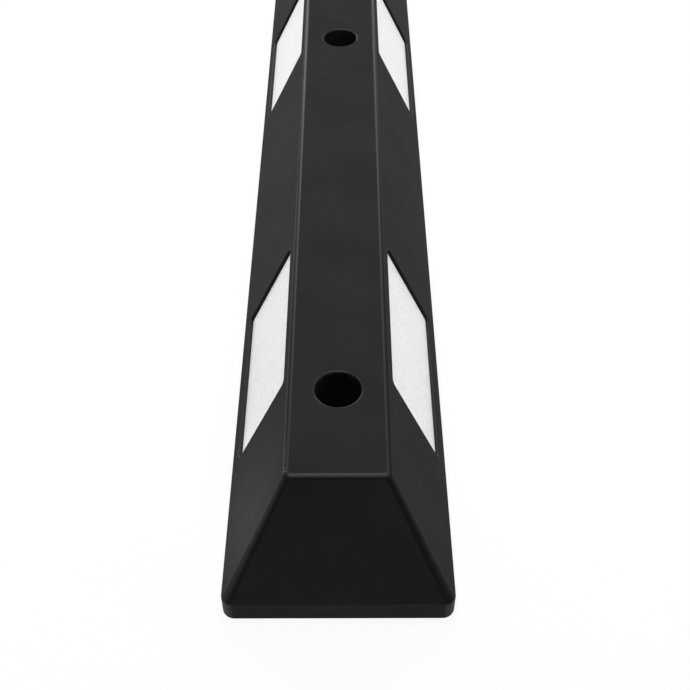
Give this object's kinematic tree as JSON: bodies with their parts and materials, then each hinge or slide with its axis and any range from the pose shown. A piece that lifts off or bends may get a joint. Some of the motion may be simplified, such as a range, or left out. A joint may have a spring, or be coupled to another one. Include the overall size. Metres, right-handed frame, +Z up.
{
  "type": "rubber wheel stop",
  "caption": "Long low black rubber wheel stop with sloped sides and ends, recessed white reflective sheets on both slopes and stepped fixing holes down through its flat top.",
  "frame": {"origin": "on the ground, in the middle of the underside", "axes": "+Y along the length, away from the end that the picture shows; +Z up; +X to the right seen from that end"},
  "size_m": [0.15, 1.65, 0.09],
  "materials": {
    "black_rubber": "satin, as moulded",
    "white_reflective": "retroreflective, with a fine bead texture"
  },
  "bodies": {
    "root": {"rubber_body": "black_rubber", "sheet_left_1": "white_reflective", "sheet_left_2": "white_reflective", "sheet_left_3": "white_reflective", "sheet_left_4": "white_reflective", "sheet_right_1": "white_reflective", "sheet_right_2": "white_reflective", "sheet_right_3": "white_reflective", "sheet_right_4": "white_reflective"}
  },
  "joints": []
}
